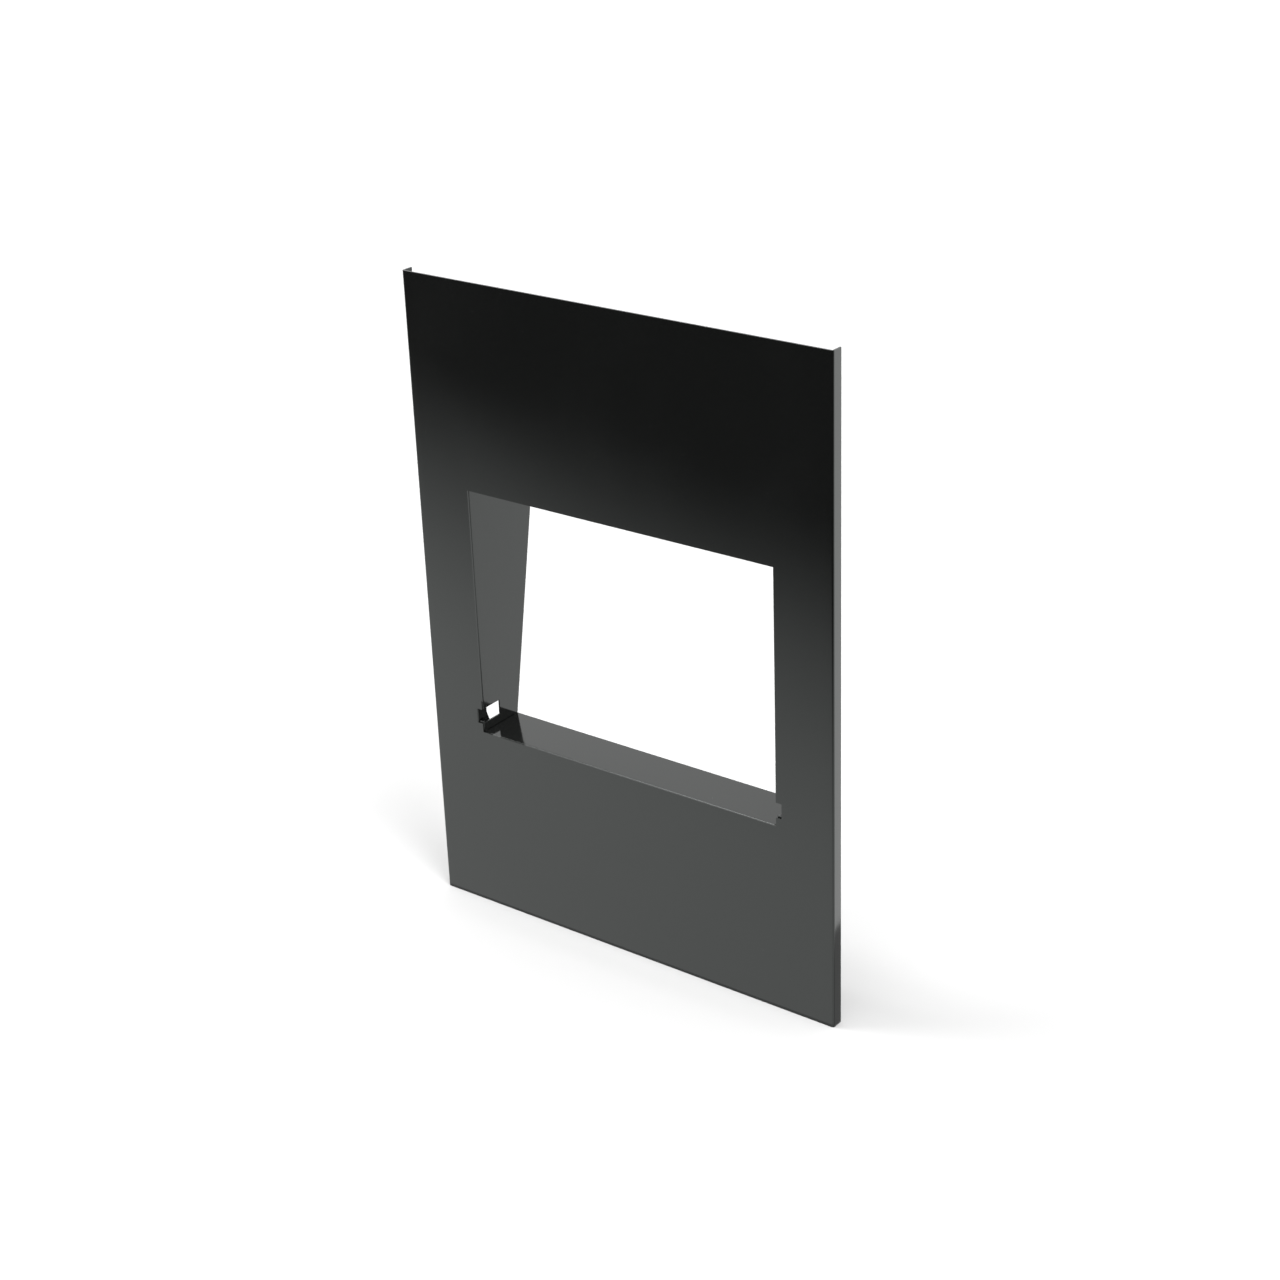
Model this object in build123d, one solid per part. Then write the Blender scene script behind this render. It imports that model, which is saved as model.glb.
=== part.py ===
from build123d import *
import math
import os

# Kick plate: a folded sheet-steel front panel with a recessed service window.
# Frame: X to the right seen from the front, Y backwards, Z up. The origin is at the bottom
# centre of the front face, so the panel stands on Z = 0 and its face lies on Y = 0.

# ---- driving dimensions, in millimetres ----
PANEL_W = 457.0
PANEL_H = 635.0
SHEET = 1.5
RETURN_DEPTH = 12.0
RETURN_BEND = 1.8

WINDOW_W = 337.0
WINDOW_SILL_Z = 188.5
WINDOW_TOP_Z = 436.0

SILL_DEPTH = 51.0
CHEEK_DEPTH_AT_SILL = 51.7
CHEEK_LEAN_DEG = 10.2
CHEEK_TOP_LAP = 10.0
FLANGE_BEND = 1.0
FLANGE_W = 24.0
SKIRT_H = 23.5

SLOT_ABOVE_SILL = 8.8
SLOT_H = 14.8
SLOT_REACH_BACK = 26.0
SLOT_REACH_OUT = 5.3
TONGUE_KERF = 0.4
TONGUE_DEPTH_TOP = 12.6
TONGUE_DEPTH_LOW = 17.6
TONGUE_KNEE_DROP = 8.0
TONGUE_FLARE_Y = 5.8
TONGUE_FLARE_DROP = 7.2
TONGUE_CLEARANCE = 4.0
SLOT_LIP_GAP = 0.4
SLOT_LIP_H = 1.7
TONGUE_BEND = 1.2

STUD_R = 2.0
STUD_LEN = 9.5
STUD_BASE_R = 3.0
STUD_BASE_H = 0.8
STUD_HOLE_R = 3.3
STUD_TIP_CHAMFER = 0.5
CHEEK_STUD_Z = (238.0, 318.0, 398.0)
SILL_STUD_X = (-126.0, -42.0, 42.0, 126.0)
SILL_STUD_DROP = 12.5
FOOT_STUD_X = (-168.0, -56.0, 56.0, 168.0)
FOOT_STUD_Z = 11.5

NUT_ACROSS_FLATS = 7.0
NUT_H = 4.2
NUT_FLANGE_R = 5.0
NUT_FLANGE_H = 1.0
THREAD_CLEARANCE = 0.05

RIVET_R = 1.6
RIVET_HOLE_R = 1.7
RIVET_HEAD_R = 3.2
RIVET_HEAD_H = 1.0
RIVET_TAIL_R = 2.6
RIVET_TAIL_H = 2.0
RIVET_BORE_R = 0.9
RIVET_EDGE = 0.4
RIVET_Y = (15.0, 36.0)

EAR_FRONT_Y = 7.0
EAR_REAR_GAP = 5.0

FOOT_W = 424.0
FOOT_DEPTH = 25.0
FOOT_LEG_H = 20.0
FOOT_CORNER = 6.0

MOUNT_STUD_R = 2.5
MOUNT_STUD_LEN = 20.0
MOUNT_STUD_BASE_R = 3.6
MOUNT_SPACING_X = 410.0
MOUNT_SPACING_Z = 555.0

# ---- derived dimensions ----
HALF_W = PANEL_W / 2
HALF_WINDOW = WINDOW_W / 2
SLOT_LOW_Z = WINDOW_SILL_Z + SLOT_ABOVE_SILL
SLOT_TOP_Z = SLOT_LOW_Z + SLOT_H
SLOT_END_X = HALF_WINDOW + SLOT_REACH_OUT
SKIRT_LOW_Z = WINDOW_SILL_Z - SKIRT_H
CHEEK_TOP_Z = WINDOW_TOP_Z + CHEEK_TOP_LAP
STUD_LINE_Z = WINDOW_SILL_Z - SILL_STUD_DROP
STUD_LINE_X = HALF_WINDOW + FLANGE_W / 2 + SHEET
FLANGE_BACK_Y = 2 * SHEET
FAR = 2 * PANEL_H


def cheek_depth(z):
    """Distance from the front face to a cheek's rear edge, which leans back as it rises."""
    return CHEEK_DEPTH_AT_SILL + math.tan(math.radians(CHEEK_LEAN_DEG)) * (z - WINDOW_SILL_Z)


def span_box(low, high):
    """Box between two corners."""
    size = [b - a for a, b in zip(low, high)]
    return Pos(*low) * Box(*size, align=(Align.MIN, Align.MIN, Align.MIN))


def rod(start, axis, radius, length):
    """Cylinder that starts at a point and runs along an axis."""
    return extrude(Plane(start, z_dir=axis) * Circle(radius), length)


def folded_angle(width, depth, thickness, bend):
    """Flat L-section with its outer corner at the origin, one leg along +X and one along +Y."""
    corner = (Align.MIN, Align.MIN)
    outer = Rectangle(width, depth, align=corner)
    inner = Pos(thickness, thickness) * Rectangle(width, depth, align=corner)
    section = outer - inner
    at_origin = section.vertices().sort_by_distance((0, 0, 0))[0]
    return fillet(at_origin, bend)


def face_sheet():
    """Front face with the two side returns, the window, and a tongue lanced at each slot."""
    corner = (Align.MIN, Align.MIN)
    outer = Pos(-HALF_W, 0) * Rectangle(PANEL_W, RETURN_DEPTH, align=corner)
    outer = fillet(outer.vertices().group_by(Axis.Y)[0], RETURN_BEND)
    inner_w = PANEL_W - 2 * SHEET
    inner = Pos(-inner_w / 2, SHEET) * Rectangle(inner_w, RETURN_DEPTH, align=corner)
    inner = fillet(inner.vertices().group_by(Axis.Y)[0], RETURN_BEND - SHEET)
    sheet = extrude(outer - inner, PANEL_H)
    sheet -= span_box((-HALF_WINDOW, -SHEET, WINDOW_SILL_Z), (HALF_WINDOW, FLANGE_BACK_Y, WINDOW_TOP_Z))
    for side in (-1, 1):
        ends = sorted((side * (HALF_WINDOW - SHEET), side * SLOT_END_X))
        sheet -= span_box((ends[0], -SHEET, SLOT_LOW_Z), (ends[1], FLANGE_BACK_Y, SLOT_TOP_Z))
    tongue = lanced_tongue()
    sheet = sheet + tongue + mirror(tongue, Plane.YZ)
    slot_ends = [
        edge
        for edge in sheet.edges().filter_by(Axis.Z).group_by(Axis.Y)[0]
        if math.isclose(abs(edge.center().X), SLOT_END_X) and edge.length < 2 * SLOT_H
    ]
    return fillet(slot_ends, TONGUE_BEND)


def lanced_tongue():
    """Tongue bent back from the left slot's outer end; behind the face its foot is deeper and lower."""
    low, top = SLOT_LOW_Z + TONGUE_KERF, SLOT_TOP_Z - TONGUE_KERF
    side_outline = [
        (0, low),
        (TONGUE_FLARE_Y, low),
        (TONGUE_FLARE_Y, low - TONGUE_FLARE_DROP),
        (TONGUE_DEPTH_LOW, low - TONGUE_FLARE_DROP),
        (TONGUE_DEPTH_TOP, top - TONGUE_KNEE_DROP),
        (TONGUE_DEPTH_TOP, top),
        (0, top),
    ]
    profile = make_face(Plane.YZ * Polyline(side_outline, close=True))
    return Pos(-SLOT_END_X - SHEET, 0, 0) * extrude(profile, SHEET)


def left_cheek():
    """Side wall of the recess: a leg that leans back, and a flange that lies behind the face."""
    section = folded_angle(FLANGE_W, cheek_depth(CHEEK_TOP_Z), SHEET, FLANGE_BEND)
    section = mirror(section, Plane.YZ)
    height = CHEEK_TOP_Z - SKIRT_LOW_Z
    cheek = Pos(-HALF_WINDOW, SHEET, SKIRT_LOW_Z) * extrude(section, height)
    rear_cut = [
        (cheek_depth(SKIRT_LOW_Z), SKIRT_LOW_Z),
        (cheek_depth(CHEEK_TOP_Z), CHEEK_TOP_Z),
        (FAR, CHEEK_TOP_Z),
        (FAR, SKIRT_LOW_Z),
    ]
    profile = make_face(Plane.YZ * Polyline(rear_cut, close=True))
    cheek -= extrude(profile, FAR, both=True)
    slot_out = -SLOT_END_X - TONGUE_CLEARANCE
    slot = span_box((slot_out, 0, SLOT_LOW_Z), (0, SLOT_REACH_BACK, SLOT_TOP_Z))
    lip_low = (-SLOT_END_X + SLOT_LIP_GAP, 0, SLOT_LOW_Z)
    slot -= span_box(lip_low, (0, FLANGE_BACK_Y, SLOT_LOW_Z + SLOT_LIP_H))
    cheek -= slot
    for z in CHEEK_STUD_Z:
        cheek -= rod((-STUD_LINE_X, 0, z), (0, 1, 0), STUD_HOLE_R, FLANGE_BACK_Y + SHEET)
    for y in RIVET_Y:
        cheek -= rod((-HALF_WINDOW - 2 * SHEET, y, STUD_LINE_Z), (1, 0, 0), RIVET_HOLE_R, 4 * SHEET)
    return cheek


def sill():
    """Shelf of the recess, with a front skirt behind the face and an ear down at each end."""
    section = folded_angle(SILL_DEPTH - SHEET, SKIRT_H, SHEET, FLANGE_BEND)
    shelf_plane = Plane((0, SHEET, WINDOW_SILL_Z), x_dir=(0, 1, 0), z_dir=(1, 0, 0))
    shelf = extrude(shelf_plane * mirror(section, Plane.XZ), HALF_WINDOW, both=True)
    relief_front = SHEET + EAR_FRONT_Y / 2
    for side in (-1, 1):
        skirt_end = sorted((side * (HALF_WINDOW - 2 * SHEET), side * HALF_WINDOW))
        shelf -= span_box(
            (skirt_end[0], 0, SKIRT_LOW_Z - SHEET),
            (skirt_end[1], relief_front, WINDOW_SILL_Z - SHEET),
        )
        ear_x = sorted((side * (HALF_WINDOW - SHEET), side * HALF_WINDOW))
        shelf += span_box(
            (ear_x[0], EAR_FRONT_Y, SKIRT_LOW_Z),
            (ear_x[1], SILL_DEPTH - EAR_REAR_GAP, WINDOW_SILL_Z - SHEET),
        )
        for y in RIVET_Y:
            start = (side * (HALF_WINDOW + SHEET), y, STUD_LINE_Z)
            shelf -= rod(start, (-side, 0, 0), RIVET_HOLE_R, 4 * SHEET)
    for x in SILL_STUD_X:
        shelf -= rod((x, 0, STUD_LINE_Z), (0, 1, 0), STUD_HOLE_R, FLANGE_BACK_Y + SHEET)
    return shelf


def foot_angle():
    """Angle that the panel stands on: one leg up behind the face, the other back along the floor."""
    section = folded_angle(FOOT_DEPTH - SHEET, FOOT_LEG_H, SHEET, FLANGE_BEND)
    end_plane = Plane((0, SHEET, 0), x_dir=(0, 1, 0), z_dir=(1, 0, 0))
    angle = extrude(end_plane * section, FOOT_W / 2, both=True)
    rear_corners = angle.edges().filter_by(Axis.Z).group_by(Axis.Y)[-1]
    angle = chamfer(rear_corners, FOOT_CORNER)
    for x in FOOT_STUD_X:
        angle -= rod((x, 0, FOOT_STUD_Z), (0, 1, 0), STUD_HOLE_R, FLANGE_BACK_Y + SHEET)
    return angle


def weld_stud(radius, base_r, length):
    """Stud along +Y from the face's rear, with its weld base and a chamfered tip."""
    shank = rod((0, SHEET, 0), (0, 1, 0), radius, length)
    tip = shank.edges().sort_by(Axis.Y)[-1]
    shank = chamfer(tip, STUD_TIP_CHAMFER)
    return shank + rod((0, SHEET, 0), (0, 1, 0), base_r, STUD_BASE_H)


def flange_nut():
    """Hexagon nut with a round flange, seated on a sheet flange's rear, axis along +Y."""
    plane = Plane((0, FLANGE_BACK_Y, 0), z_dir=(0, 1, 0))
    hexagon = RegularPolygon(NUT_ACROSS_FLATS / 2, 6, major_radius=False)
    nut = extrude(plane * hexagon, NUT_H) + extrude(plane * Circle(NUT_FLANGE_R), NUT_FLANGE_H)
    bore_r = STUD_R + THREAD_CLEARANCE
    return nut - rod((0, FLANGE_BACK_Y, 0), (0, 1, 0), bore_r, NUT_H)


def blind_rivet():
    """Blind rivet along +X: a low head outside the left cheek and a swelled tail inside the ear."""
    outside = -HALF_WINDOW - SHEET
    head = rod((outside - RIVET_HEAD_H, 0, 0), (1, 0, 0), RIVET_HEAD_R, RIVET_HEAD_H)
    rim = head.edges().sort_by(Axis.X)[0]
    head = chamfer(rim, RIVET_EDGE, 2 * RIVET_EDGE)
    body = rod((outside, 0, 0), (1, 0, 0), RIVET_R, 2 * SHEET)
    tail = rod((outside + 2 * SHEET, 0, 0), (1, 0, 0), RIVET_TAIL_R, RIVET_TAIL_H)
    tail = fillet(tail.edges().sort_by(Axis.X)[-1], RIVET_EDGE)
    bore_depth = RIVET_HEAD_H + SHEET
    bore = rod((outside - RIVET_HEAD_H, 0, 0), (1, 0, 0), RIVET_BORE_R, bore_depth)
    return head + body + tail - bore


def fasteners():
    """Every stud, nut and rivet in its place, by node name."""
    stud = weld_stud(STUD_R, STUD_BASE_R, STUD_LEN)
    mount_stud = weld_stud(MOUNT_STUD_R, MOUNT_STUD_BASE_R, MOUNT_STUD_LEN)
    nut = flange_nut()
    rivet = blind_rivet()
    placed = {}
    for side_name, side in (("left", -1), ("right", 1)):
        for level, z in zip(("low", "mid", "high"), CHEEK_STUD_Z):
            place = Pos(side * STUD_LINE_X, 0, z)
            placed[f"cheek_stud_{side_name}_{level}"] = place * stud
            placed[f"cheek_nut_{side_name}_{level}"] = place * nut
        for end_name, y in zip(("front", "rear"), RIVET_Y):
            left = Pos(0, y, STUD_LINE_Z) * rivet
            placed[f"sill_rivet_{side_name}_{end_name}"] = left if side < 0 else mirror(left, Plane.YZ)
        for level, z_side in (("low", -1), ("high", 1)):
            x, z = side * MOUNT_SPACING_X / 2, PANEL_H / 2 + z_side * MOUNT_SPACING_Z / 2
            placed[f"mounting_stud_{side_name}_{level}"] = Pos(x, 0, z) * mount_stud
    for held, line_x, z in (("sill", SILL_STUD_X, STUD_LINE_Z), ("foot", FOOT_STUD_X, FOOT_STUD_Z)):
        for number, x in enumerate(line_x, start=1):
            placed[f"{held}_stud_{number}"] = Pos(x, 0, z) * stud
            placed[f"{held}_nut_{number}"] = Pos(x, 0, z) * nut
    return placed


def main():
    cheek = left_cheek()
    nodes = {
        "face_sheet": face_sheet(),
        "left_cheek": cheek,
        "right_cheek": mirror(cheek, Plane.YZ),
        "sill": sill(),
        "foot_angle": foot_angle(),
        **fasteners(),
    }
    os.makedirs("parts", exist_ok=True)
    for name, shape in nodes.items():
        export_step(shape, f"parts/{name}.step")
    print(len(nodes), "nodes written")


main()
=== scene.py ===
import math

import bmesh
import bpy
import numpy as np
from mathutils import Matrix, Vector


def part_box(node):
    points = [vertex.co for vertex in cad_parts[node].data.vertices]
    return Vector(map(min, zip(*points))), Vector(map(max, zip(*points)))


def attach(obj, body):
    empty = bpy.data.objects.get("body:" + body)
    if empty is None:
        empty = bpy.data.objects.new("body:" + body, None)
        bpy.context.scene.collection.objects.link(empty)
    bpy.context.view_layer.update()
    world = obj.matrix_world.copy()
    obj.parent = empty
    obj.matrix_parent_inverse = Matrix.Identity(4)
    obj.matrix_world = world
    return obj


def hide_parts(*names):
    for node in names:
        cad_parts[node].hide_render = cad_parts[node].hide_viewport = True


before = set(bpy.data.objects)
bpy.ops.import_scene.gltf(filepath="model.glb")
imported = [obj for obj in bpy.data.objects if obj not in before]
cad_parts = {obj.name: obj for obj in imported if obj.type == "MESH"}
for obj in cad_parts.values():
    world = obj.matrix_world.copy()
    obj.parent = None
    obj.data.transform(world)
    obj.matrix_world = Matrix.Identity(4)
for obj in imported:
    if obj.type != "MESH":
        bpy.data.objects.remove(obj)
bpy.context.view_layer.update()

# ---- sheet metal ----
MM = 0.001
SHEET = 1.5 * MM
RETURN_DEPTH = 12.0 * MM
RETURN_BEND = 1.8 * MM
FLANGE_BEND = 1.0 * MM
FLANGE_W = 24.0 * MM
CHEEK_BEND = 2.0 * MM
SLOT_ABOVE_SILL = 8.8 * MM
SLOT_H = 14.8 * MM
SLOT_REACH_OUT = 5.3 * MM
SLOT_REACH_BACK = 26.0 * MM
TONGUE_KERF = 0.4 * MM
TONGUE_BEND = 1.2 * MM
TONGUE_DEPTH_TOP = 12.6 * MM
TONGUE_DEPTH_LOW = 17.6 * MM
TONGUE_KNEE_DROP = 8.0 * MM
TONGUE_FLARE_Y = 5.8 * MM
TONGUE_FLARE_DROP = 7.2 * MM
TONGUE_CLEARANCE = 4.0 * MM
SLOT_LIP_GAP = 0.4 * MM
SLOT_LIP_H = 1.7 * MM
CHEEK_TOP_LAP = 10.0 * MM
CHEEK_LEAN_DEG = 10.2
CHEEK_FAN_GAP = 4.0 * MM
EAR_FRONT_Y = 7.0 * MM
EAR_REAR_GAP = 5.0 * MM
FOOT_CORNER = 6.0 * MM
CUT_EDGE_ROUND = 0.32 * MM
CUT_EDGE_SEGMENTS = 3
CUT_EDGE_ANGLE_DEG = 50
GRID_STEP = 8 * MM
FOOT_GRID_STEP = 6 * MM
WELD_REACH = 0.001 * MM
QUARTER = math.pi / 2

# Waves left in the flat face: depth, margin where they fade out, and for each of the two its
# radians a metre across and up, and its phase.
PANEL_WAVE = 0.22 * MM
WAVE_MARGIN = 60 * MM
WAVE_SHAPES = ((17.0, 9.0, 0.0), (-13.0, 23.0, 1.3))

# ---- sizes worked out from the frame ----
HALF_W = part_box("face_sheet")[1].x
PANEL_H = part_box("face_sheet")[1].z
HALF_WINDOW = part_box("sill")[1].x
SILL_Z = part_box("sill")[1].z
SKIRT_LOW_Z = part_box("sill")[0].z
SILL_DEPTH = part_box("sill")[1].y
HALF_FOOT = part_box("foot_angle")[1].x
FOOT_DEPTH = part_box("foot_angle")[1].y
FOOT_LEG_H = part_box("foot_angle")[1].z
CHEEK_TOP_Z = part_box("left_cheek")[1].z
CHEEK_DEPTH_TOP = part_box("left_cheek")[1].y
CHEEK_LEAN = math.tan(math.radians(CHEEK_LEAN_DEG))
WINDOW_TOP_Z = CHEEK_TOP_Z - CHEEK_TOP_LAP
SLOT_LOW_Z = SILL_Z + SLOT_ABOVE_SILL
SLOT_TOP_Z = SLOT_LOW_Z + SLOT_H
SLOT_END_X = HALF_WINDOW + SLOT_REACH_OUT

# ---- fasteners: studs, flange nuts and blind rivets ----
# A thread's depth is in pitches. Flank and flat are its wave's slope and offset, which leave a flat
# crest and a flat root, and the tip share is how deep the thread still is at the stud's tip.
STUD_R, STUD_PITCH = 2.0 * MM, 0.7 * MM
MOUNT_STUD_R, MOUNT_STUD_PITCH = 2.5 * MM, 0.8 * MM
STUD_BASE_H = 0.8 * MM
STUD_BASE_SLOPE = 0.2 * MM
STUD_BASE_RIM = 0.6
STUD_TIP = 0.5 * MM
THREAD_DEPTH_IN_PITCHES = 0.6
THREAD_FLANK, THREAD_FLAT = 1.35, 0.15
THREAD_TIP_SHARE = 0.35
THREAD_ROWS_A_TURN = 8
THREAD_SIDES = 24
NUT_APOTHEM = 3.5 * MM
NUT_BORE_R = 2.05 * MM
NUT_BORE_CHAMFER = 0.4 * MM
NUT_FLANGE_H = 1.0 * MM
NUT_RIM_RISE = (0, 0, 0.3, 0.7, 1)
NUT_RIM_INSET = (0.2, 0, 0.1, 0.6)
NUT_HEX_START = 1.25
NUT_CONE_H, NUT_CONE_SLOPE = 0.42 * MM, 1.7
NUT_SIDES = 72
RIVET_HEAD_R, RIVET_HEAD_H = 3.2 * MM, 1.0 * MM
RIVET_R = 1.6 * MM
RIVET_TAIL_R, RIVET_TAIL_H = 2.6 * MM, 2.0 * MM
RIVET_BORE_R = 0.9 * MM
RIVET_STEM = (0.45 * MM, 0.35 * MM, 0.3 * MM)
RIVET_STEM_TAPER, RIVET_DOME, RIVET_TAIL_BLUNT = 0.8, 0.75, 0.12
RIVET_SIDES = 32

# ---- camera: place, turn, rise and roll in degrees, lens and sensor in millimetres ----
CAMERA_PLACE = (1.2128, -1.5370, 1.2233)
CAMERA_TURN, CAMERA_RISE, CAMERA_ROLL = 37.694, 24.612, -2.1455
CAMERA_LENS, CAMERA_SENSOR = 67.66, 36.0
CLIP_NEAR, CLIP_FAR = 0.05, 100.0

# ---- studio: the floor, the lights, and the painted reflections: glowing paper that only reflections see ----
FLOOR_GREY, FLOOR_REACH = 0.475, 30.0
ROOM_STRENGTH = 1.3
# Each bank of lights: its name, the way it shines, and its strength.
BANK_SPREAD_DEG = 24.0
BANKS = (("left_bank", (0.55, 0.2, -0.8), 1.7), ("right_bank", (-0.55, 0.2, -0.8), 2.2))
STRIP_Y, STRIP_Z = 0.04, 2.2
STRIP_SIZE, STRIP_POWER = (1.6, 0.14), 10.0
PAPER_LIFT = 0.5 * MM
# The sweep's glow, a painted reflection of the floor in front: the way along which it fades, where
# the fade lies in metres, its level at the panel's foot and far off, and how much it falls a metre
# to the right and rises a metre away.
SWEEP_REACH, SWEEP_GAP = 8.0, 3 * MM
SWEEP_STRENGTH = 2.0
SWEEP_TURN_DEG = 13.3
SWEEP_FADE = (0.173, 0.944)
SWEEP_LEVEL, SWEEP_DARK = 1.36, 0.105
SWEEP_SLOPE = (0.12, 0.19)
# Painted reflections of the floor: the paper behind the panel glowing evenly, and a dimmer glow
# right of the panel, just behind it, that paints the shadow there.
PAPER_BEHIND, PAPER_LEVEL = ((-0.3, 0.3), (2.0, 2.0)), 1.48
PAPER_IN_SHADE, SHADE_LEVEL = ((HALF_W + MM, 2 * MM), (HALF_W + 0.105, 0.29)), 0.53
# Painted reflection: a glowing card right of the panel, for the right-hand return's gloss.
SIDE_CARD_X = HALF_W + 0.083
SIDE_CARD_Y, SIDE_CARD_Z = (0.08, 0.24), (0.01, 1.2)
SIDE_CARD_LEVEL = 2.05


# ---- mesh helpers ----
def lines(*breaks, step=GRID_STEP):
    """Blank lines through every break, and evenly spaced ones between, at most a step apart."""
    spans = []
    for low, high in zip(breaks, breaks[1:]):
        count = max(1, math.ceil((high - low) / step - 1e-9))
        spans.append(np.linspace(low, high, count + 1)[:-1])
    return np.concatenate([*spans, [breaks[-1]]])


def both_sides(right):
    """Blank lines of a symmetric piece, from those of its right half, which start at the middle."""
    return np.concatenate([-right[:0:-1], right])


def fan_lines(start, count):
    """Blank lines that fan out past a break, evenly spaced from it up to one past it."""
    return start + np.linspace(0, 1, count + 1)[1:]


def bend_lines(start, radius, pieces=6):
    """Breaks across a right-angle bend: evenly spaced along its quarter circle."""
    return list(start + np.linspace(0, radius * QUARTER, pieces + 1))


def fold(s, start, radius):
    """Distance along and distance dropped by a strip that is folded square.

    Straight up to start, then a quarter circle, then straight down:
    along = start + r sin(angle), drop = r (1 - cos(angle)) + what is left of s."""
    past = np.maximum(s - start, 0)
    angle = np.minimum(past / radius, QUARTER)
    rest = np.maximum(past - radius * QUARTER, 0)
    along = np.minimum(s, start) + radius * np.sin(angle)
    return along, radius * (1 - np.cos(angle)) + rest


def blank(a, b, place, metal):
    """Grid over a flat blank, folded into shape.

    place(a, b) gives the folded points and metal(a, b) says which cells stay. Returns the points
    and the four-cornered faces of the cells whose middles are metal."""
    grid_a, grid_b = np.meshgrid(a, b, indexing="ij")
    points = np.stack(np.broadcast_arrays(*place(grid_a, grid_b)), axis=-1).reshape(-1, 3)
    index = np.arange(grid_a.size).reshape(grid_a.shape)
    quads = np.stack([index[:-1, :-1], index[1:, :-1], index[1:, 1:], index[:-1, 1:]], axis=-1)
    middle_a, middle_b = np.meshgrid((a[:-1] + a[1:]) / 2, (b[:-1] + b[1:]) / 2, indexing="ij")
    return points, quads[metal(middle_a, middle_b)]


def everywhere(a, b):
    """A blank with no cut-outs."""
    return np.ones(a.shape, bool)


def make_piece(name, grids, node, outward=None):
    """Joins grids into one mesh, welds the lines they share, and stands it in for its CAD node.

    outward is a point and a direction: the face nearest that point is turned to look that way."""
    points = np.concatenate([grid[0] for grid in grids])
    offsets = np.cumsum([0] + [len(grid[0]) for grid in grids[:-1]])
    quads = np.concatenate([grid[1] + offset for grid, offset in zip(grids, offsets)])
    mesh = bpy.data.meshes.new(name)
    mesh.from_pydata(points, [], quads)
    form = bmesh.new()
    form.from_mesh(mesh)
    loose = [vertex for vertex in form.verts if not vertex.link_faces]
    bmesh.ops.delete(form, geom=loose, context="VERTS")
    bmesh.ops.remove_doubles(form, verts=form.verts, dist=WELD_REACH)
    bmesh.ops.recalc_face_normals(form, faces=form.faces)
    if outward:
        near, direction = Vector(outward[0]), Vector(outward[1])
        nearest = min(form.faces, key=lambda face: (face.calc_center_median() - near).length)
        if nearest.normal.dot(direction) < 0:
            bmesh.ops.reverse_faces(form, faces=form.faces)
    form.to_mesh(mesh)
    form.free()
    mesh.polygons.foreach_set("use_smooth", np.ones(len(mesh.polygons), bool))
    piece = bpy.data.objects.new(name, mesh)
    bpy.context.scene.collection.objects.link(piece)
    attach(piece, "root")
    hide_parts(node)
    return piece


def give_thickness(piece):
    """Thickens a sheet inwards from its outer skin and rounds its cut edges, as paint does."""
    solid = piece.modifiers.new("sheet", "SOLIDIFY")
    solid.thickness = SHEET
    solid.offset = -1
    solid.use_even_offset = True
    rounding = piece.modifiers.new("cut_edges", "BEVEL")
    rounding.width = CUT_EDGE_ROUND
    rounding.segments = CUT_EDGE_SEGMENTS
    rounding.limit_method = "ANGLE"
    rounding.angle_limit = math.radians(CUT_EDGE_ANGLE_DEG)
    rounding.use_clamp_overlap = True
    shading = piece.modifiers.new("flat_shading", "WEIGHTED_NORMAL")
    shading.keep_sharp = False


# ---- the face sheet ----
def panel_wave(x, z):
    """How far the flat face is drawn in: long waves left by the folding, none at its edges.

    Half the sum of two slow cosines, moved to lie between nought and one, times a fade that
    rises from nought at the face's edges to one at the margin."""
    margins = np.stack(np.broadcast_arrays(HALF_W - np.abs(x), z, PANEL_H - z)) / WAVE_MARGIN
    fade = np.prod(np.clip(margins, 0, 1), axis=0)
    slow = 0.5 + 0.25 * sum(np.cos(a * x + b * z + c) for a, b, c in WAVE_SHAPES)
    return PANEL_WAVE * fade * slow


def face_place(s, z):
    """Folds the face's blank: s runs across the face and round each side bend into the return."""
    along, drop = fold(np.abs(s), HALF_W - RETURN_BEND, RETURN_BEND)
    x = np.sign(s) * along
    return x, drop + panel_wave(x, z), z


def face_metal(s, z):
    """The face's blank, less the window and the slot at each side of its foot."""
    across = np.abs(s)
    window = (across < HALF_WINDOW) & (z > SILL_Z) & (z < WINDOW_TOP_Z)
    slot = (across < SLOT_END_X) & (z > SLOT_LOW_Z) & (z < SLOT_TOP_Z)
    kerf_low, kerf_top = SLOT_LOW_Z + TONGUE_KERF, SLOT_TOP_Z - TONGUE_KERF
    root = (across < SLOT_END_X + TONGUE_BEND) & (z > kerf_low) & (z < kerf_top)
    return ~(window | slot | root)


def face_grid():
    """Grid of the face sheet, with lines on every cut and bend."""
    bend = bend_lines(HALF_W - RETURN_BEND, RETURN_BEND)
    end = bend[-1] + RETURN_DEPTH - RETURN_BEND
    right = lines(0, HALF_WINDOW, SLOT_END_X, SLOT_END_X + TONGUE_BEND, *bend, end)
    across = both_sides(right)
    tongue_low, tongue_top = SLOT_LOW_Z + TONGUE_KERF, SLOT_TOP_Z - TONGUE_KERF
    tongue = (tongue_low, tongue_top - TONGUE_KNEE_DROP, tongue_top)
    up = lines(0, SILL_Z, SLOT_LOW_Z, *tongue, SLOT_TOP_Z, WINDOW_TOP_Z, PANEL_H)
    return blank(across, up, face_place, face_metal)


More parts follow.
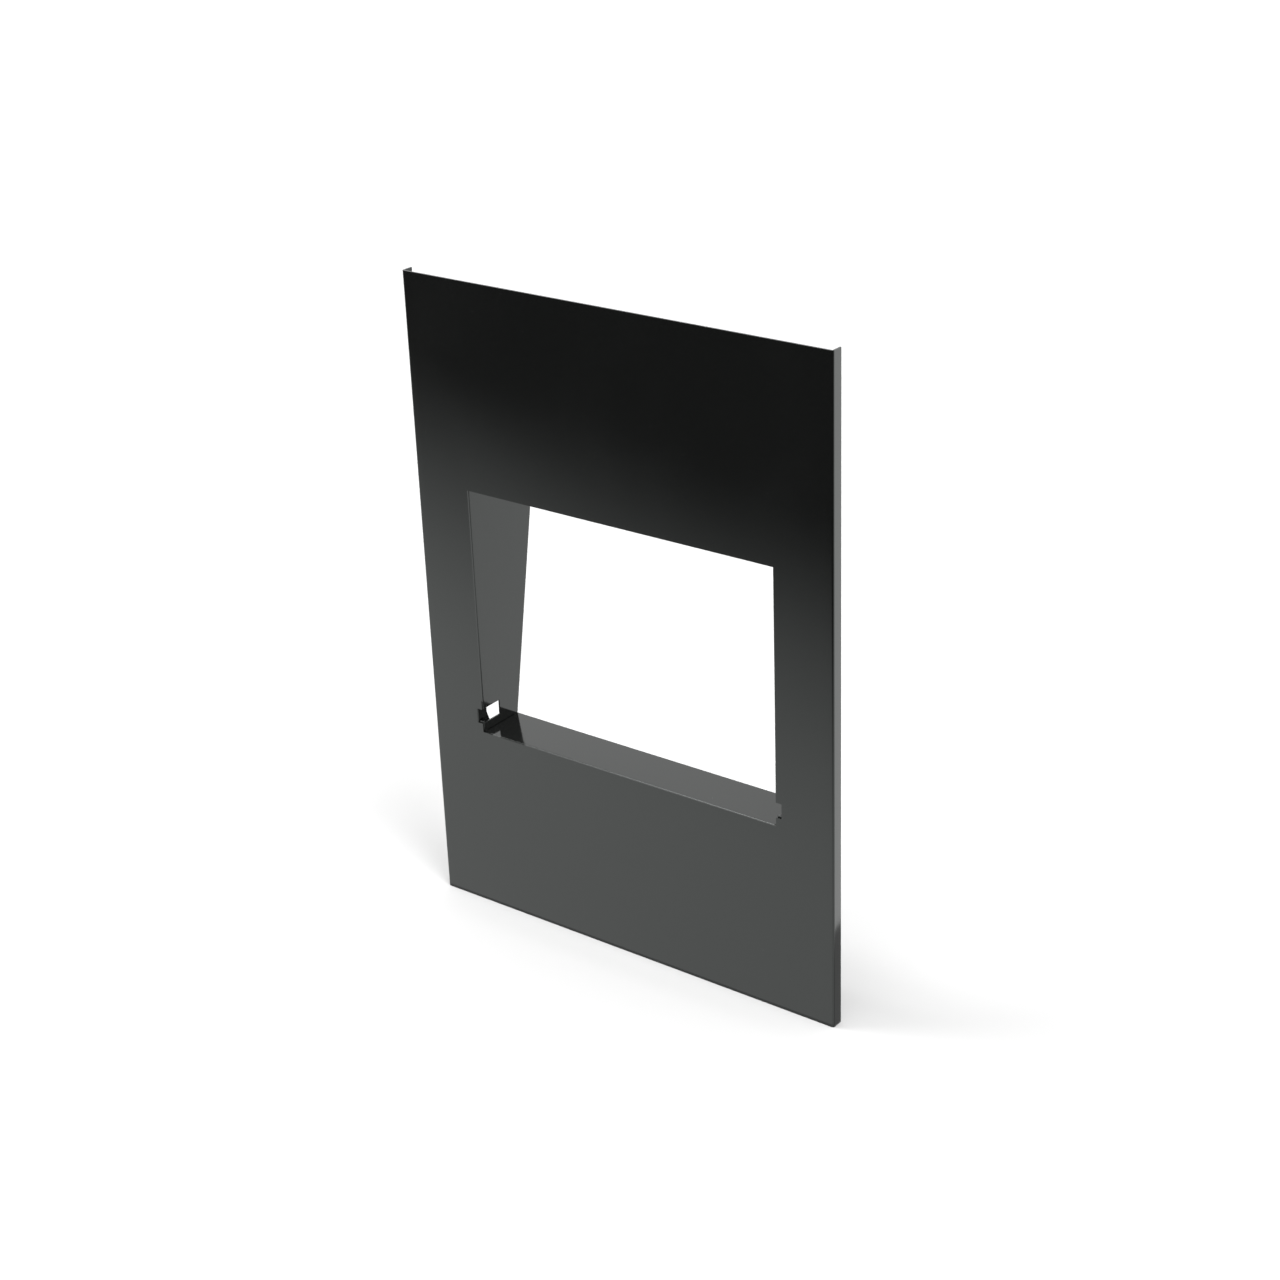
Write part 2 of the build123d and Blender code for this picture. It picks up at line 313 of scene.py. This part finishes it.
def tongue_grid(side):
    """Tongue at a slot's outer end, folded back from the face, its foot deeper and lower behind it.

    The lines past the flare fan out, so that the last one lies on the rear edge, whose depth is
    read off between its top, its knee and its foot."""
    low, top = SLOT_LOW_Z + TONGUE_KERF, SLOT_TOP_Z - TONGUE_KERF
    foot = low - TONGUE_FLARE_DROP
    bend_end = TONGUE_BEND * QUARTER
    flare = bend_end + TONGUE_FLARE_Y - TONGUE_BEND

    def place(t, z):
        depths = (TONGUE_DEPTH_LOW, TONGUE_DEPTH_TOP, TONGUE_DEPTH_TOP)
        rear = np.interp(z, (foot, top - TONGUE_KNEE_DROP, top), depths)
        s = np.where(t > flare, flare + (t - flare) * (rear - TONGUE_FLARE_Y), t)
        along, drop = fold(s, 0, TONGUE_BEND)
        x = side * (SLOT_END_X + TONGUE_BEND - along)
        return x, drop + panel_wave(x, z), z

    def metal(t, z):
        return (z > low) | (t > flare)

    across = np.concatenate([bend_lines(0, TONGUE_BEND, 5), [flare], fan_lines(flare, 4)])
    return blank(across, lines(foot, low, top - TONGUE_KNEE_DROP, top), place, metal)


def face_sheet():
    """The face with its returns and the two lanced tongues, one sheet throughout."""
    grids = [face_grid(), tongue_grid(-1), tongue_grid(1)]
    piece = make_piece(
        "face_sheet_skin",
        grids,
        "face_sheet",
        outward=((0, 0, PANEL_H), (0, -1, 0)),
    )
    give_thickness(piece)
    return piece


# ---- the recess: two cheeks and the sill ----
def cheek(side, node):
    """Side wall of the recess: a flange behind the face, a tight bend, and a leg that leans back.

    The leg's lines past the slot fan out, so that the last one lies on the leaning rear edge."""
    bend = bend_lines(FLANGE_W - CHEEK_BEND, CHEEK_BEND)
    fan_y = SLOT_REACH_BACK + CHEEK_FAN_GAP
    leg_start = bend[-1] - CHEEK_BEND - SHEET
    fan_start = leg_start + fan_y
    slot_end = HALF_WINDOW + FLANGE_W - SLOT_END_X
    slot_from, lip_from = slot_end - TONGUE_CLEARANCE, slot_end + SLOT_LIP_GAP
    lip_to, slot_to = bend[-2], leg_start + SLOT_REACH_BACK
    lip_z = SLOT_LOW_Z + SLOT_LIP_H

    def place(s, z):
        rear = CHEEK_DEPTH_TOP - CHEEK_LEAN * (CHEEK_TOP_Z - z)
        s = np.where(s > fan_start, fan_start + (s - fan_start) * (rear - fan_y), s)
        along, drop = fold(s, FLANGE_W - CHEEK_BEND, CHEEK_BEND)
        return side * (HALF_WINDOW + FLANGE_W - along), SHEET + drop, z

    def metal(s, z):
        lip = (s > lip_from) & (s < lip_to) & (z < lip_z)
        return lip | ~((s > slot_from) & (s < slot_to) & (z > SLOT_LOW_Z) & (z < SLOT_TOP_Z))

    fixed = lines(0, slot_from, lip_from, *bend, slot_to, fan_start)
    up = lines(SKIRT_LOW_Z, SLOT_LOW_Z, lip_z, SLOT_TOP_Z, CHEEK_TOP_Z)
    across = np.concatenate([fixed, fan_lines(fan_start, 8)])
    grid = blank(across, up, place, metal)
    near = (side * HALF_WINDOW, SILL_DEPTH, WINDOW_TOP_Z)
    piece = make_piece(
        node + "_skin", [grid], node, outward=(near, (-side, 0, 0))
    )
    give_thickness(piece)
    return piece


def sill():
    """Shelf of the recess, folded down in front behind the face and at each end into an ear."""
    shelf_run = SILL_DEPTH - SHEET
    front_bend = bend_lines(shelf_run - FLANGE_BEND, FLANGE_BEND, 5)
    skirt_end = front_bend[-1] + SILL_Z - SKIRT_LOW_Z - FLANGE_BEND
    ear_from = EAR_REAR_GAP
    ear_to = SILL_DEPTH - EAR_FRONT_Y
    ear_root = HALF_WINDOW - FLANGE_BEND
    relief = 2 * SHEET

    def shelf_place(a, b):
        along, drop = fold(b, shelf_run - FLANGE_BEND, FLANGE_BEND)
        return a, SILL_DEPTH - along, SILL_Z - drop

    def shelf_metal(a, b):
        ear = (np.abs(a) > ear_root) & (b > ear_from) & (b < ear_to)
        corner = (np.abs(a) > HALF_WINDOW - relief) & (b > shelf_run - FLANGE_BEND)
        return ~(ear | corner)

    def ear_grid(side):
        def place(a, b):
            along, drop = fold(a, ear_root, FLANGE_BEND)
            return side * along, SILL_DEPTH - b, SILL_Z - drop

        bend = bend_lines(ear_root, FLANGE_BEND, 5)
        down = bend[-1] + SILL_Z - SKIRT_LOW_Z - FLANGE_BEND
        return blank(lines(*bend, down), lines(ear_from, ear_to), place, everywhere)

    right = lines(0, HALF_WINDOW - relief, ear_root, HALF_WINDOW)
    across = both_sides(right)
    back = lines(0, ear_from, ear_to, *front_bend, skirt_end)
    grids = [blank(across, back, shelf_place, shelf_metal), ear_grid(-1), ear_grid(1)]
    near = (0, SILL_DEPTH / 2, SILL_Z)
    piece = make_piece("sill_skin", grids, "sill", outward=(near, (0, 0, 1)))
    give_thickness(piece)
    return piece


def foot_angle():
    """Angle that the panel stands on: a leg up behind the face and one back along the floor.

    Towards the rear the blank's ends draw in by the corner's size, which takes the corners off."""
    leg = FOOT_LEG_H - FLANGE_BEND
    bend = bend_lines(leg, FLANGE_BEND, 5)
    end = bend[-1] + FOOT_DEPTH - SHEET - FLANGE_BEND

    def place(a, b):
        along, drop = fold(b, leg, FLANGE_BEND)
        corner = np.clip(b - (end - FOOT_CORNER), 0, FOOT_CORNER)
        x = np.sign(a) * np.minimum(np.abs(a), HALF_FOOT - corner)
        return x, SHEET + drop, FOOT_LEG_H - along

    right = lines(0, HALF_FOOT - FOOT_CORNER, HALF_FOOT)
    across = both_sides(right)
    down_and_back = lines(0, *bend, end - FOOT_CORNER, end, step=FOOT_GRID_STEP)
    grid = blank(across, down_and_back, place, everywhere)
    near = (0, SHEET, FOOT_LEG_H / 2)
    piece = make_piece(
        "foot_angle_skin", [grid], "foot_angle", outward=(near, (0, -1, 0))
    )
    give_thickness(piece)
    return piece


# ---- fasteners: surfaces of turn angle and station ----
def turned(radius, height, start, axis, segments):
    """Closed surface round an axis, through stations along it.

    Each station has a height, and radius(turn, station) gives its radius. The point is
    start + axis * height + radius * (cos turn, sin turn) across the axis."""
    stations = np.arange(len(height))
    turn = np.linspace(0, 2 * math.pi, segments + 1)
    axis = np.array(axis, float)
    across = np.array((0.0, 0.0, 1.0))
    beside = np.cross(axis, across)

    def place(angle, station):
        station = station.astype(int)
        r = radius(angle, station)
        point = (
            np.array(start)
            + height[station][..., None] * axis
            + (r * np.cos(angle))[..., None] * across
            + (r * np.sin(angle))[..., None] * beside
        )
        return point[..., 0], point[..., 1], point[..., 2]

    return blank(turn, stations, place, everywhere)


def stud(node, radius, pitch):
    """Weld stud: a round weld base, a rolled thread, and a chamfered tip.

    The thread's radius falls by a wave of turn and height, so that its crest is a helix."""
    low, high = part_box(node)
    centre = (low + high) / 2
    base_r = (high.x - low.x) / 2
    length = high.y - low.y
    depth = THREAD_DEPTH_IN_PITCHES * pitch
    core = radius - depth
    rows = int((length - STUD_BASE_H) / pitch * THREAD_ROWS_A_TURN)
    base_y = [0, 0, STUD_BASE_H * STUD_BASE_RIM, STUD_BASE_H, STUD_BASE_H]
    base = [0, base_r, base_r, base_r - STUD_BASE_SLOPE, core]
    thread_y = np.linspace(STUD_BASE_H, length - STUD_TIP, rows)
    height = np.concatenate([base_y, thread_y, [length, length]])
    outline = np.concatenate([base, np.full(rows, radius), [core, 0]])
    first, last = len(base), len(base) + rows

    def thread_radius(turn, station):
        phase = height[station] / pitch - turn / (2 * math.pi)
        ridge = np.abs(2 * (phase - np.floor(phase)) - 1)
        cut = depth * np.clip(THREAD_FLANK * ridge - THREAD_FLAT, 0, 1)
        fade = np.clip((length - height[station]) / (2 * pitch), 0, 1)
        share = THREAD_TIP_SHARE + (1 - THREAD_TIP_SHARE) * fade
        threaded = (station >= first) & (station < last)
        return outline[station] - np.where(threaded, cut * share, 0)

    grid = turned(thread_radius, height, (centre.x, low.y, centre.z), (0, 1, 0), THREAD_SIDES)
    return make_piece(node + "_threaded", [grid], node)


def nut(node):
    """Flanged hexagon nut: the lesser of a hexagon's and a chamfer cone's radius, on its flange.

    A hexagon's radius at a turn is its apothem over the cosine of the turn from its nearest flat.
    The flange's rim rises by shares of the flange's height and is inset in millimetres."""
    low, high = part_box(node)
    centre = (low + high) / 2
    flange_r = (high.x - low.x) / 2
    tall = high.y - low.y
    corner_r = NUT_APOTHEM / math.cos(math.pi / 6)
    rim_y = np.array(NUT_RIM_RISE) * NUT_FLANGE_H
    rim = [NUT_BORE_R, *(flange_r - np.array(NUT_RIM_INSET) * MM)]
    hex_y = np.linspace(NUT_HEX_START * NUT_FLANGE_H, tall, 9)
    bore_y = [tall, tall - NUT_BORE_CHAMFER, 0]
    bore = [NUT_BORE_R + NUT_BORE_CHAMFER, NUT_BORE_R, NUT_BORE_R]
    height = np.concatenate([rim_y, hex_y, bore_y])
    outline = np.concatenate([rim, np.full(len(hex_y), corner_r), bore])
    first, last = len(rim), len(rim) + len(hex_y)

    def hex_radius(turn, station):
        from_flat = (turn + math.pi / 6) % (math.pi / 3) - math.pi / 6
        flat = NUT_APOTHEM / np.cos(from_flat)
        cone = corner_r - NUT_CONE_SLOPE * np.maximum(height[station] - (tall - NUT_CONE_H), 0)
        on_hex = (station >= first) & (station < last)
        return np.where(on_hex, np.minimum(flat, cone), outline[station])

    grid = turned(hex_radius, height, (centre.x, low.y, centre.z), (0, 1, 0), NUT_SIDES)
    return make_piece(node + "_flanged", [grid], node)


def rivet(node):
    """Blind rivet: a domed head with the broken stem in its bore, a body, and a swelled tail.

    The head's dome and the tail's end are quarter turns of a cosine and a sine."""
    low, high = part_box(node)
    centre = (low + high) / 2
    side = -1 if centre.x < 0 else 1
    outer_x = low.x if side < 0 else high.x
    length = high.x - low.x
    tail_y = length - RIVET_TAIL_H
    dome = np.linspace(0, QUARTER, 7)
    tail = np.linspace(0, QUARTER, 6)
    height = np.concatenate(
        [
            [*RIVET_STEM, 0],
            RIVET_HEAD_H * RIVET_DOME * (1 - np.cos(dome)),
            [RIVET_HEAD_H, RIVET_HEAD_H, tail_y, tail_y],
            tail_y + RIVET_TAIL_H * np.sin(tail),
            [length],
        ]
    )
    outline = np.concatenate(
        [
            [0, RIVET_BORE_R * RIVET_STEM_TAPER, RIVET_BORE_R, RIVET_BORE_R],
            RIVET_BORE_R + (RIVET_HEAD_R - RIVET_BORE_R) * np.sin(dome),
            [RIVET_HEAD_R, RIVET_R, RIVET_R, RIVET_TAIL_R],
            RIVET_TAIL_R * np.sqrt(np.maximum(np.cos(tail), RIVET_TAIL_BLUNT)),
            [0],
        ]
    )

    def radius(turn, station):
        return outline[station]

    grid = turned(radius, height, (outer_x, centre.y, centre.z), (-side, 0, 0), RIVET_SIDES)
    return make_piece(node + "_set", [grid], node)


# ---- finishes ----
class Value:
    """A shader output that takes part in sums: each operator adds one Math node."""

    def __init__(self, finish, output):
        self.finish = finish
        self.output = output

    def math(self, operation, first, second):
        return self.finish.node("Math", {"operation": operation}, {0: first, 1: second})

    def __add__(self, other):
        return self.math("ADD", self, other)

    def __radd__(self, other):
        return self.math("ADD", other, self)

    def __sub__(self, other):
        return self.math("SUBTRACT", self, other)

    def __rsub__(self, other):
        return self.math("SUBTRACT", other, self)

    def __mul__(self, other):
        return self.math("MULTIPLY", self, other)

    def __rmul__(self, other):
        return self.math("MULTIPLY", other, self)


class Finish:
    """A material with one Principled shader; node() adds any other node and returns its output."""

    def __init__(self, name, **constants):
        self.material = bpy.data.materials.new(name)
        self.material.use_nodes = True
        self.tree = self.material.node_tree
        self.shader = self.tree.nodes["Principled BSDF"]
        for socket, value in constants.items():
            self.shader.inputs[socket.replace("_", " ")].default_value = value

    def node(self, kind, settings=None, inputs=None, output=0):
        made = self.tree.nodes.new("ShaderNode" + kind)
        for key, value in (settings or {}).items():
            setattr(made, key, value)
        for key, value in (inputs or {}).items():
            self.feed(made.inputs[key], value)
        return Value(self, made.outputs[output])

    def feed(self, socket, value):
        if isinstance(value, Value):
            self.tree.links.new(value.output, socket)
        else:
            socket.default_value = value

    def noise(self, scale, detail=2.0, stretch=(1, 1, 1)):
        """Noise between 0 and 1 over the piece's own coordinates, scale in waves a metre."""
        where = self.node("TexCoord", output="Object")
        where = self.node("Mapping", {}, {"Vector": where, "Scale": stretch})
        return self.node("TexNoise", {}, {"Vector": where, "Scale": scale, "Detail": detail})

    def step(self, value, low, high):
        """0 below low, 1 above high, and smooth between."""
        ranged = {"interpolation_type": "SMOOTHSTEP"}
        return self.node("MapRange", ranged, {"Value": value, "From Min": low, "From Max": high})

    def blend(self, share, first, second):
        """Colour between two, by share."""
        inputs = {"Factor": share, "A": first, "B": second}
        return self.node("Mix", {"data_type": "RGBA"}, inputs, output="Result")

    def bump(self, height, distance, strength=1.0):
        inputs = {"Height": height, "Distance": distance, "Strength": strength}
        self.feed(self.shader.inputs["Normal"], self.node("Bump", {}, inputs))

    def dress(self, *pieces):
        for piece in pieces:
            piece.data.materials.append(self.material)


def gloss_black_paint():
    """Sprayed and stoved black enamel: deep gloss, faint orange peel, a little dust and haze."""
    paint = Finish("gloss_black_enamel", IOR=1.5, Specular_Tint=(0.94, 1.0, 0.97, 1))
    haze = paint.step(paint.noise(7.0, 3.0), 0.42, 0.75)
    wipe = paint.step(paint.noise(30.0, 4.0, (1, 1, 0.25)), 0.5, 0.8)
    specks = paint.step(paint.noise(620.0, 1.0), 0.79, 0.84)
    roughness = 0.085 + 0.03 * haze + 0.02 * wipe + 0.25 * specks
    paint.feed(paint.shader.inputs["Roughness"], roughness)
    body = paint.blend(haze, (0.0022, 0.0023, 0.0022, 1), (0.0030, 0.0031, 0.0030, 1))
    colour = paint.blend(specks * 0.35, body, (0.16, 0.16, 0.15, 1))
    paint.feed(paint.shader.inputs["Base Color"], colour)
    peel = paint.noise(260.0, 1.5) + 0.35 * paint.noise(900.0, 1.0)
    paint.bump(peel, 0.004 * MM)
    return paint


def zinc_plate():
    """Bright zinc plate on rolled steel: pale, mottled, a little blue, rougher where it is dull."""
    zinc = Finish("zinc_plate", Metallic=1.0)
    mottle = zinc.noise(420.0, 3.0)
    dull = zinc.step(zinc.noise(1500.0, 2.0), 0.45, 0.7)
    zinc.feed(zinc.shader.inputs["Roughness"], 0.26 + 0.16 * mottle + 0.12 * dull)
    colour = zinc.blend(mottle, (0.56, 0.58, 0.61, 1), (0.72, 0.72, 0.70, 1))
    zinc.feed(zinc.shader.inputs["Base Color"], colour)
    zinc.bump(zinc.noise(5000.0, 2.0), 0.01 * MM)
    return zinc


def rivet_aluminium():
    """Plain drawn aluminium: soft sheen with fine turning marks."""
    metal = Finish("rivet_aluminium", Metallic=1.0)
    grain = metal.noise(1800.0, 2.0)
    metal.feed(metal.shader.inputs["Roughness"], 0.3 + 0.2 * grain)
    metal.feed(
        metal.shader.inputs["Base Color"],
        metal.blend(grain, (0.70, 0.71, 0.72, 1), (0.82, 0.82, 0.83, 1)),
    )
    metal.bump(grain, 0.01 * MM)
    return metal


# ---- studio ----
def plane(name, corners, material):
    """Flat stage piece through four corners."""
    mesh = bpy.data.meshes.new(name)
    mesh.from_pydata(corners, [], [(0, 1, 2, 3)])
    mesh.materials.append(material)
    piece = bpy.data.objects.new(name, mesh)
    bpy.context.scene.collection.objects.link(piece)
    return piece


def level_corners(low, high, z):
    """Corners of a level rectangle between two opposite ones, as seen from above."""
    (x0, y0), (x1, y1) = low, high
    return [(x0, y0, z), (x1, y0, z), (x1, y1, z), (x0, y1, z)]


def reflected_only(piece):
    """Keeps a studio card out of every ray but a reflection."""
    piece.visible_camera = False
    piece.visible_diffuse = False
    piece.visible_shadow = False
    piece.visible_transmission = False


def floor():
    """Wide white floor that the panel stands on."""
    paper = Finish("white_paper", Roughness=0.9, Specular_IOR_Level=0.0)
    paper.shader.inputs["Base Color"].default_value = (FLOOR_GREY, FLOOR_GREY, FLOOR_GREY, 1)
    low, high = (-FLOOR_REACH, -FLOOR_REACH), (FLOOR_REACH, FLOOR_REACH)
    plane("floor", level_corners(low, high, 0), paper.material)


def reflected_sweep():
    """Painted reflection of the paper in front, seen only by the gloss: bright at the panel's foot,
    dark further off.

    The glow rises a little to the left and away from the panel, under a smooth fade along one
    slanted way."""
    glow = Finish(
        "reflected_sweep",
        Specular_IOR_Level=0.0,
        Emission_Strength=SWEEP_STRENGTH,
        Base_Color=(0, 0, 0, 1),
    )
    turn = math.radians(SWEEP_TURN_DEG)
    where = glow.node("TexCoord", output="Object")
    x = glow.node("SeparateXYZ", {}, {0: where}, output="X")
    y = glow.node("SeparateXYZ", {}, {0: where}, output="Y")
    away = x * math.sin(turn) - y * math.cos(turn)
    slope_x, slope_y = SWEEP_SLOPE
    slope = 1 - slope_x * x - slope_y * y
    # Painted reflection: glow bright near the panel's foot, fading to dark further off.
    level = SWEEP_LEVEL * slope * (1 - glow.step(away, *SWEEP_FADE)) + SWEEP_DARK
    glow.feed(glow.shader.inputs["Emission Color"], (1 / SWEEP_STRENGTH) * level)
    corners = level_corners((-SWEEP_REACH, -SWEEP_REACH), (SWEEP_REACH, -SWEEP_GAP), PAPER_LIFT)
    reflected_only(plane("reflected_sweep", corners, glow.material))


def reflected_paper(name, low, high, level):
    """Painted reflection of paper between two corners of the floor: an even glow only the gloss
    sees.
    """
    reflected_only(plane(name, level_corners(low, high, PAPER_LIFT), emitter(name, level)))


def emitter(name, strength):
    """Even white light from a surface."""
    glow = Finish(name)
    light = glow.node("Emission", {}, {"Strength": strength})
    glow.tree.links.new(light.output, glow.tree.nodes["Material Output"].inputs["Surface"])
    return glow.material


def side_card():
    """Painted reflection: a glowing card beside the panel, seen only in reflections, which the
    right-hand return reflects.
    """
    (front, back), (low, high) = SIDE_CARD_Y, SIDE_CARD_Z
    outline = ((front, low), (back, low), (back, high), (front, high))
    corners = [(SIDE_CARD_X, y, z) for y, z in outline]
    reflected_only(plane("side_card", corners, emitter("side_card", SIDE_CARD_LEVEL)))


def soft_light(name, place, target, width, depth, power):
    """Soft box aimed at a point."""
    lamp = bpy.data.lights.new(name, "AREA")
    lamp.shape = "RECTANGLE"
    lamp.size, lamp.size_y = width, depth
    lamp.energy = power
    holder = bpy.data.objects.new(name, lamp)
    bpy.context.scene.collection.objects.link(holder)
    direction = Vector(target) - Vector(place)
    holder.location = place
    holder.rotation_euler = direction.to_track_quat("-Z", "Y").to_euler()


def far_light(name, toward, spread_deg, strength):
    """Large far-off light, parallel but soft, that shines the given way."""
    lamp = bpy.data.lights.new(name, "SUN")
    lamp.angle = math.radians(spread_deg)
    lamp.energy = strength
    holder = bpy.data.objects.new(name, lamp)
    bpy.context.scene.collection.objects.link(holder)
    holder.rotation_euler = Vector(toward).to_track_quat("-Z", "Y").to_euler()


def room_light():
    """White room all round."""
    world = bpy.data.worlds.new("white_room")
    world.use_nodes = True
    background = world.node_tree.nodes["Background"]
    background.inputs["Color"].default_value = (1, 1, 1, 1)
    background.inputs["Strength"].default_value = ROOM_STRENGTH
    bpy.context.scene.world = world


def camera():
    """Camera right of the panel and above it, rolled a little, looking down at the window."""
    turn, rise, roll = (math.radians(value) for value in (CAMERA_TURN, CAMERA_RISE, CAMERA_ROLL))
    level = math.cos(rise)
    back = Vector((math.sin(turn) * level, -math.cos(turn) * level, math.sin(rise)))
    right = Vector((math.cos(turn), math.sin(turn), 0))
    up = back.cross(right)
    rolled_right = math.cos(roll) * right + math.sin(roll) * up
    rolled_up = math.cos(roll) * up - math.sin(roll) * right
    lens = bpy.data.cameras.new("camera")
    lens.lens = CAMERA_LENS
    lens.sensor_width = CAMERA_SENSOR
    lens.clip_start, lens.clip_end = CLIP_NEAR, CLIP_FAR
    holder = bpy.data.objects.new("camera", lens)
    bpy.context.scene.collection.objects.link(holder)
    rotation = Matrix((rolled_right, rolled_up, back)).transposed()
    holder.matrix_world = Matrix.Translation(CAMERA_PLACE) @ rotation.to_4x4()
    bpy.context.scene.camera = holder


camera()
room_light()
floor()
# Painted reflections of the floor and studio: cards that glow, seen only in reflections.
reflected_sweep()
reflected_paper("paper_behind", *PAPER_BEHIND, PAPER_LEVEL)
reflected_paper("paper_in_shade", *PAPER_IN_SHADE, SHADE_LEVEL)
side_card()
for bank, toward, strength in BANKS:
    far_light(bank, toward, BANK_SPREAD_DEG, strength)
soft_light("overhead_strip", (0, STRIP_Y, STRIP_Z), (0, STRIP_Y, 0), *STRIP_SIZE, STRIP_POWER)

paint = gloss_black_paint()
paint.dress(face_sheet(), cheek(-1, "left_cheek"), cheek(1, "right_cheek"), sill(), foot_angle())
zinc = zinc_plate()
aluminium = rivet_aluminium()
for node in sorted(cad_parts):
    if node.startswith("mounting_stud"):
        zinc.dress(stud(node, MOUNT_STUD_R, MOUNT_STUD_PITCH))
    elif "stud" in node:
        zinc.dress(stud(node, STUD_R, STUD_PITCH))
    elif "nut" in node:
        zinc.dress(nut(node))
    elif "rivet" in node:
        aluminium.dress(rivet(node))

bpy.context.scene.view_settings.view_transform = "Standard"
